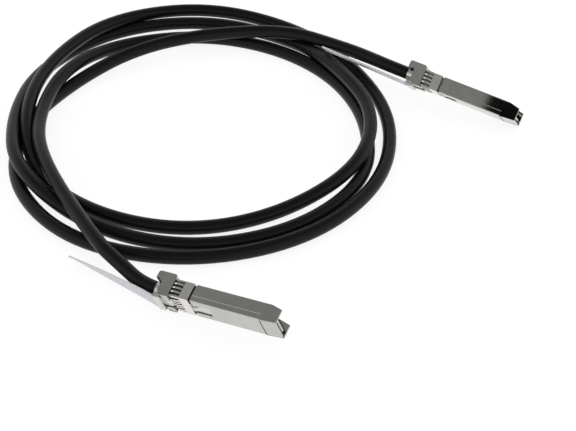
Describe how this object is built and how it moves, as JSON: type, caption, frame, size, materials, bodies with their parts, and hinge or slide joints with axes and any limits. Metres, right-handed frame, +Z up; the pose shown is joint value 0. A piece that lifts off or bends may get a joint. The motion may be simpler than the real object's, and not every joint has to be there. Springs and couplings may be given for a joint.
{
  "type": "direct attach copper cable",
  "caption": "Twin-axial copper cable lying in a loose coil, with a latching metal plug, spring-finger collar and pull tab on each end.",
  "frame": {"origin": "on the surface the cable lies on, below the middle of the box round its two plugs", "axes": "+Z up; plug a lies to the front, plug b to the right, and both point toward the front right with their cables behind them"},
  "size_m": [0.2639, 0.2833, 0.0222],
  "materials": {
    "shell_metal": "satin nickel over zinc die casting",
    "collar_steel": "bright plated spring steel",
    "latch_steel": "plated sheet steel",
    "card": "green solder mask",
    "gold": "gold plated pads",
    "tab_film": "milky translucent film",
    "jacket": "satin black jacket",
    "wire_skin": "shielded pair"
  },
  "bodies": {
    "base": {"lower_shell_a": "shell_metal", "upper_shell_a": "shell_metal", "paddle_card_a": "card", "contact_pads_a": "gold", "emi_collar_a": "collar_steel", "latch_pin_a": "latch_steel", "return_spring_a": "latch_steel", "cable_ferrule_a": "latch_steel", "shell_screw_left_a": "latch_steel", "shell_screw_right_a": "latch_steel", "tx_pair_a": "wire_skin", "rx_pair_a": "wire_skin", "lower_shell_b": "shell_metal", "upper_shell_b": "shell_metal", "paddle_card_b": "card", "contact_pads_b": "gold", "emi_collar_b": "collar_steel", "latch_pin_b": "latch_steel", "return_spring_b": "latch_steel", "cable_ferrule_b": "latch_steel", "shell_screw_left_b": "latch_steel", "shell_screw_right_b": "latch_steel", "tx_pair_b": "wire_skin", "rx_pair_b": "wire_skin", "cable_tail_a": "jacket", "cable_coil": "jacket", "cable_tail_b": "jacket"},
    "pull_a": {"pull_slider_a": "latch_steel", "pull_tab_a": "tab_film"},
    "lever_a": {"latch_lever_a": "latch_steel"},
    "pull_b": {"pull_slider_b": "latch_steel", "pull_tab_b": "tab_film"},
    "lever_b": {"latch_lever_b": "latch_steel"}
  },
  "joints": [
    {"name": "pull_a_slide", "type": "slide", "parent": "base", "child": "pull_a", "axis": [-0.8745, 0.4728, -0.108], "range_m": [0, 0.0025], "stiffness_N_per_m": 400, "springref_m": -0.002},
    {"name": "lever_a_rock", "type": "hinge", "parent": "base", "child": "lever_a", "pos_m": [-0.04436, -0.09373, 0.00958], "axis": [0.2663, 0.2819, -0.9218], "range_deg": [0, 3.81]},
    {"name": "pull_b_slide", "type": "slide", "parent": "base", "child": "pull_b", "axis": [-0.8633, 0.4964, 0.0906], "range_m": [0, 0.0025], "stiffness_N_per_m": 400, "springref_m": -0.002},
    {"name": "lever_b_rock", "type": "hinge", "parent": "base", "child": "lever_b", "pos_m": [0.07523, 0.07261, 0.00826], "axis": [0.3019, 0.652, -0.6955], "range_deg": [0, 3.81]}
  ],
  "couplings": [
    {"joint": "lever_a_rock", "follows": "pull_a_slide", "rad_per_m": 26.56},
    {"joint": "lever_b_rock", "follows": "pull_b_slide", "rad_per_m": 26.56}
  ]
}
